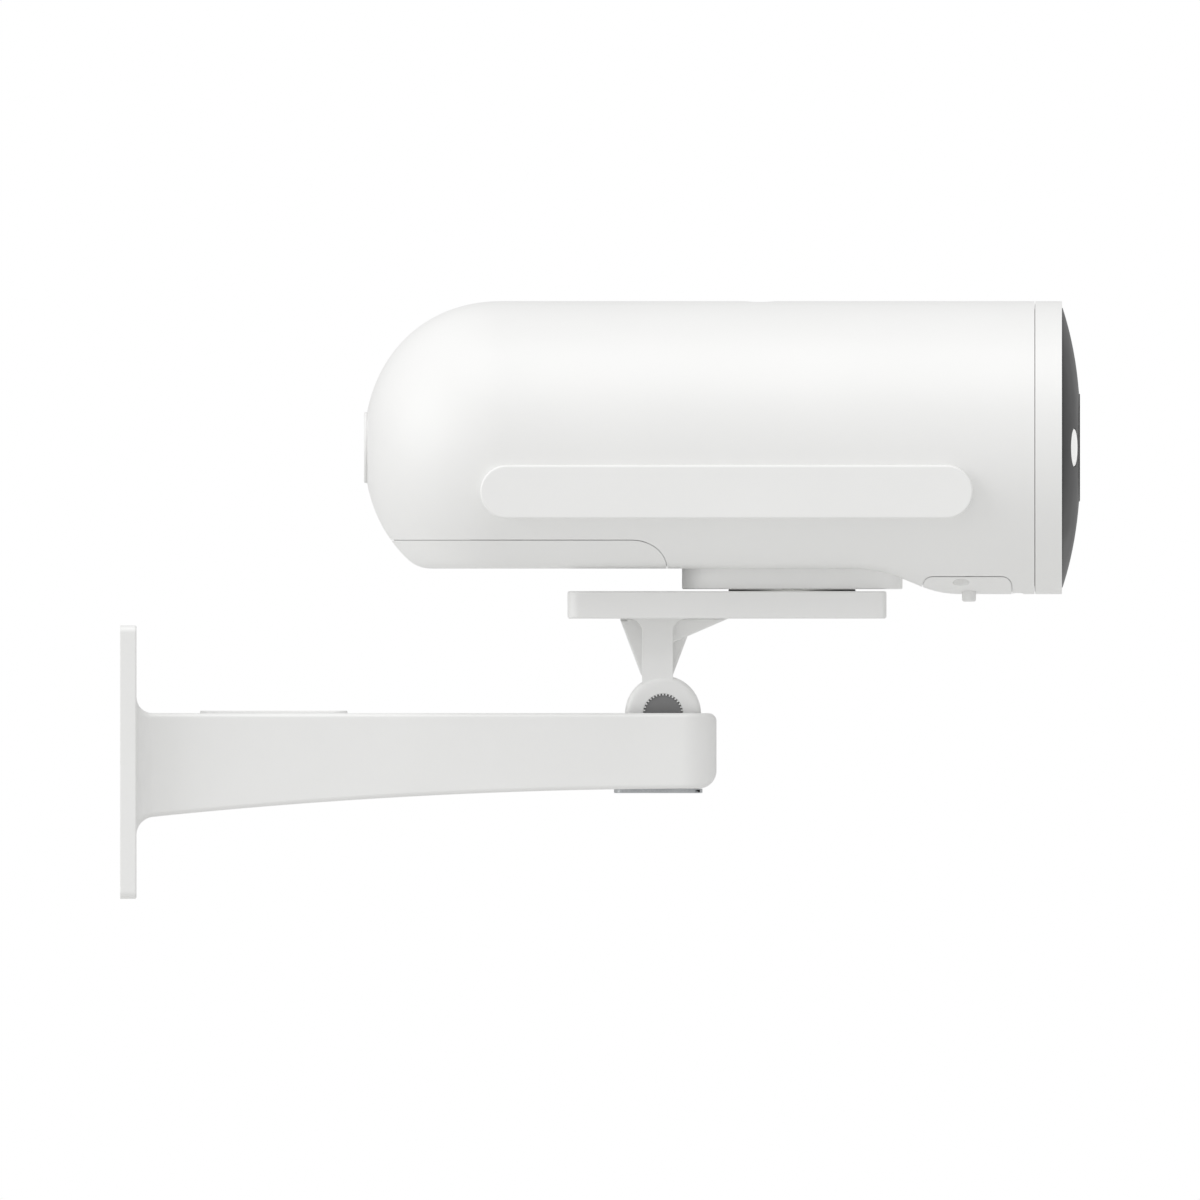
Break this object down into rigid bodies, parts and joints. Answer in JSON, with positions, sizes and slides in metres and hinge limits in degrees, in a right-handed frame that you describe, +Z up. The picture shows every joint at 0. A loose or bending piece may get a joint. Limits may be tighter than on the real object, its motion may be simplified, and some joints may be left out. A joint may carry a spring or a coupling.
{
  "type": "security camera",
  "caption": "White bullet security camera with domed rear, side covers, black domed front and spotlights, on a panning and tilting bracket at the end of a tapered wall arm.",
  "frame": {"origin": "centre of the wall plate's back face, where it meets the wall", "axes": "+X away from the wall towards the lens, +Z up, +Y to the camera's left"},
  "size_m": [0.384, 0.1224, 0.2391],
  "materials": {
    "white_plastic": "fine satin moulded white, UV-stable",
    "white_paint": "satin white powder coat",
    "black_plastic": "matt black moulding",
    "grey_metal": "mid grey phosphate",
    "steel": "zinc plated",
    "aluminium": "as cast, lightly blasted",
    "rubber": "black silicone",
    "white_rubber": "white silicone",
    "circuit_board": "solder mask",
    "copper": "phosphor bronze",
    "battery_wrap": "shrink sleeve",
    "diffuser": "opal diffuser",
    "lens_glass": "coated optical glass",
    "led": "LED package",
    "reflector": "metallised cup",
    "black_glass": "smoked gloss black front window",
    "white_nylon": "natural white nylon"
  },
  "bodies": {
    "arm": {"wall_plate": "white_paint", "arm": "white_paint", "arm_screws": "steel", "cable_cover": "white_plastic", "cable_cover_screws": "steel", "hinge_block": "aluminium", "hinge_block_screws": "steel", "lock_plate": "steel", "lock_plate_screws": "steel"},
    "tilt_lock_screw": {"tilt_lock_screw": "steel"},
    "bracket": {"bracket": "white_paint", "tilt_pin": "grey_metal", "tilt_pin_cap": "grey_metal", "pan_washer": "white_nylon"},
    "camera": {"pan_bolt": "steel", "pan_bolt_washer": "steel", "mount_block": "white_plastic", "mount_screws": "steel", "housing": "white_plastic", "antenna_cover_right": "white_plastic", "antenna_cover_left": "white_plastic", "antenna_right": "circuit_board", "antenna_left": "circuit_board", "vent_plug": "white_plastic", "power_inlet": "black_plastic", "inlet_nut": "steel", "hatch_gasket": "rubber", "battery_case": "black_plastic", "battery_cells": "battery_wrap", "battery_contacts": "copper", "chassis": "black_plastic", "main_board": "circuit_board", "heat_spreader": "aluminium", "shield_cans": "steel", "board_screws": "steel", "radio_module": "steel", "sensor_board": "circuit_board", "image_sensor": "black_plastic", "lens_holder": "black_plastic", "lens_barrel": "black_plastic", "lens_elements": "lens_glass", "lens_ring": "black_plastic", "led_board": "circuit_board", "light_leds": "led", "light_reflectors": "reflector", "light_window_right": "diffuser", "light_window_left": "diffuser", "front_glass": "black_glass", "front_bezel": "white_plastic", "bezel_gasket": "rubber", "bezel_screws": "steel", "port_tray": "black_plastic", "card_socket": "steel", "reset_switch": "black_plastic", "microphone": "steel"},
    "rear_cap": {"rear_cap": "white_rubber"},
    "rear_hatch": {"rear_hatch": "white_plastic"},
    "access_door": {"access_door": "white_plastic"},
    "reset_button": {"reset_button": "white_rubber"},
    "ir_cut_filter": {"ir_cut_filter": "black_plastic"}
  },
  "joints": [
    {"name": "tilt", "type": "hinge", "parent": "arm", "child": "bracket", "pos_m": [0.2172, 0, 0.0194], "axis": [0, 1, 0], "range_deg": [-25, 60]},
    {"name": "pan", "type": "hinge", "parent": "bracket", "child": "camera", "pos_m": [0.2688, 0, 0.0684], "axis": [0, 0, 1], "range_deg": [-90, 90]},
    {"name": "tilt_lock_turn", "type": "hinge", "parent": "arm", "child": "tilt_lock_screw", "pos_m": [0.2172, 0, 0], "axis": [0, 0, 1], "range_deg": [-180, 0]},
    {"name": "rear_hatch_off", "type": "slide", "parent": "camera", "child": "rear_hatch", "axis": [-1, 0, 0], "range_m": [0, 0.045]},
    {"name": "rear_cap_off", "type": "slide", "parent": "camera", "child": "rear_cap", "axis": [-1, 0, 0], "range_m": [0, 0.02]},
    {"name": "port_door_off", "type": "slide", "parent": "camera", "child": "access_door", "axis": [0, 0, -1], "range_m": [0, 0.018]},
    {"name": "reset_press", "type": "slide", "parent": "access_door", "child": "reset_button", "axis": [0, 0, 1], "range_m": [0, 0.0012], "stiffness_N_per_m": 400, "springref_m": -0.0008},
    {"name": "ir_cut_switch", "type": "slide", "parent": "camera", "child": "ir_cut_filter", "axis": [0, 1, 0], "range_m": [0, 0.0071]}
  ]
}
